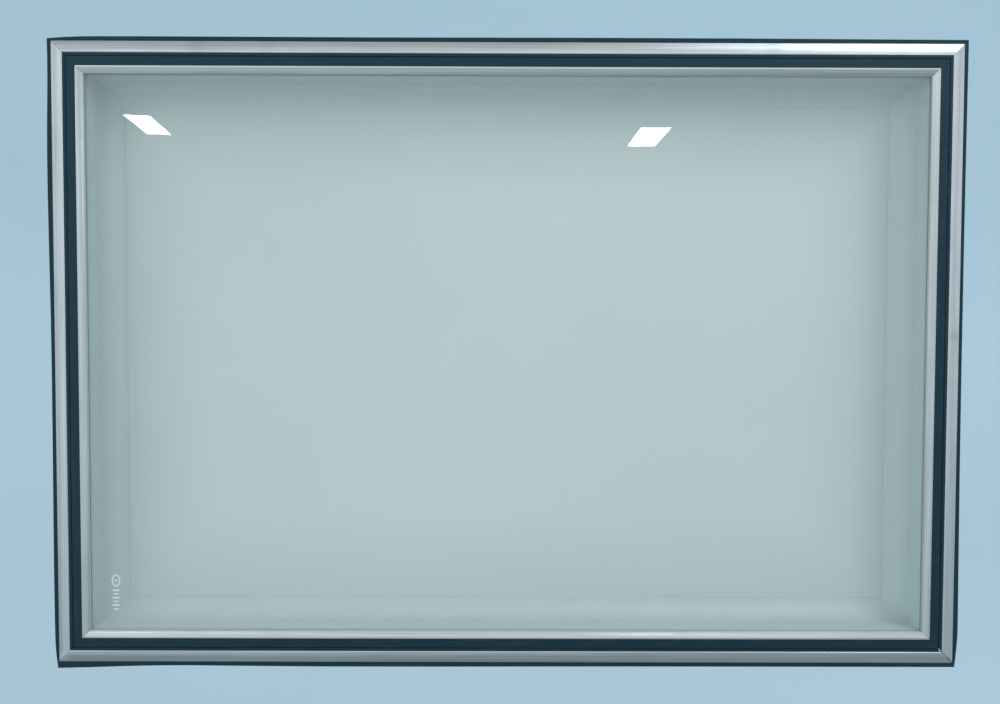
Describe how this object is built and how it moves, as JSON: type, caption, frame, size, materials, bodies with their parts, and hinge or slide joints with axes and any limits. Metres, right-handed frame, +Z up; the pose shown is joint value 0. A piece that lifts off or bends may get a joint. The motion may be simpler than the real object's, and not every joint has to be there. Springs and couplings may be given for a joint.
{
  "type": "framed glass screen panel",
  "caption": "Fixed rectangular guard screen for a wall cut-out: mitred satin aluminium frames with black rubber seals and infill, clear front pane over a pale rear pane.",
  "frame": {"origin": "centre of the wall cut-out, on the wall's front face, which is the centre of the front fixing holes", "axes": "+X to the right and +Z up as seen from the front, +Y through the wall from front to back"},
  "size_m": [1.2049, 0.0786, 0.8332],
  "materials": {
    "satin_aluminium": "satin anodised, with fine lengthwise drawing lines",
    "bead_aluminium": "satin anodised, a little smoother than the rails",
    "mill_aluminium": "plain mill finish, hidden",
    "zinc_steel": "zinc plated",
    "seal_rubber": "matt black",
    "infill_rubber": "smooth black with a slight sheen",
    "gasket_rubber": "matt grey",
    "foam_tape": "matt grey closed-cell foam",
    "packer_plastic": "moulded black",
    "clear_glass": "clear, polished, with a faint green tint",
    "opal_glass": "opaque pale grey-green, satin face",
    "coated_spacer": "grey powder coat",
    "desiccant": "packed beads, hidden"
  },
  "bodies": {
    "root": {"front_frame_rail_top": "satin_aluminium", "front_frame_rail_bottom": "satin_aluminium", "front_frame_rail_left": "satin_aluminium", "front_frame_rail_right": "satin_aluminium", "front_glazing_bead_top": "bead_aluminium", "front_glazing_bead_bottom": "bead_aluminium", "front_glazing_bead_left": "bead_aluminium", "front_glazing_bead_right": "bead_aluminium", "front_wall_seal_top": "seal_rubber", "front_wall_seal_bottom": "seal_rubber", "front_wall_seal_left": "seal_rubber", "front_wall_seal_right": "seal_rubber", "front_infill_strip_top": "infill_rubber", "front_infill_strip_bottom": "infill_rubber", "front_infill_strip_left": "infill_rubber", "front_infill_strip_right": "infill_rubber", "front_wedge_gasket_top": "gasket_rubber", "front_wedge_gasket_bottom": "gasket_rubber", "front_wedge_gasket_left": "gasket_rubber", "front_wedge_gasket_right": "gasket_rubber", "front_glazing_tape": "foam_tape", "front_glazing_packers": "packer_plastic", "front_corner_cleats": "mill_aluminium", "front_cleat_grub_screws": "zinc_steel", "front_spacer_screws": "zinc_steel", "rear_frame_rail_top": "satin_aluminium", "rear_frame_rail_bottom": "satin_aluminium", "rear_frame_rail_left": "satin_aluminium", "rear_frame_rail_right": "satin_aluminium", "rear_glazing_bead_top": "bead_aluminium", "rear_glazing_bead_bottom": "bead_aluminium", "rear_glazing_bead_left": "bead_aluminium", "rear_glazing_bead_right": "bead_aluminium", "rear_wall_seal_top": "seal_rubber", "rear_wall_seal_bottom": "seal_rubber", "rear_wall_seal_left": "seal_rubber", "rear_wall_seal_right": "seal_rubber", "rear_infill_strip_top": "infill_rubber", "rear_infill_strip_bottom": "infill_rubber", "rear_infill_strip_left": "infill_rubber", "rear_infill_strip_right": "infill_rubber", "rear_wedge_gasket_top": "gasket_rubber", "rear_wedge_gasket_bottom": "gasket_rubber", "rear_wedge_gasket_left": "gasket_rubber", "rear_wedge_gasket_right": "gasket_rubber", "rear_glazing_tape": "foam_tape", "rear_glazing_packers": "packer_plastic", "rear_corner_cleats": "mill_aluminium", "rear_cleat_grub_screws": "zinc_steel", "rear_spacer_screws": "zinc_steel", "front_glass_pane": "clear_glass", "rear_opal_pane": "opal_glass", "spacer_bar_top": "coated_spacer", "spacer_bar_bottom": "coated_spacer", "spacer_bar_left": "coated_spacer", "spacer_bar_right": "coated_spacer", "spacer_corner_keys": "packer_plastic", "spacer_desiccant": "desiccant"}
  },
  "joints": []
}
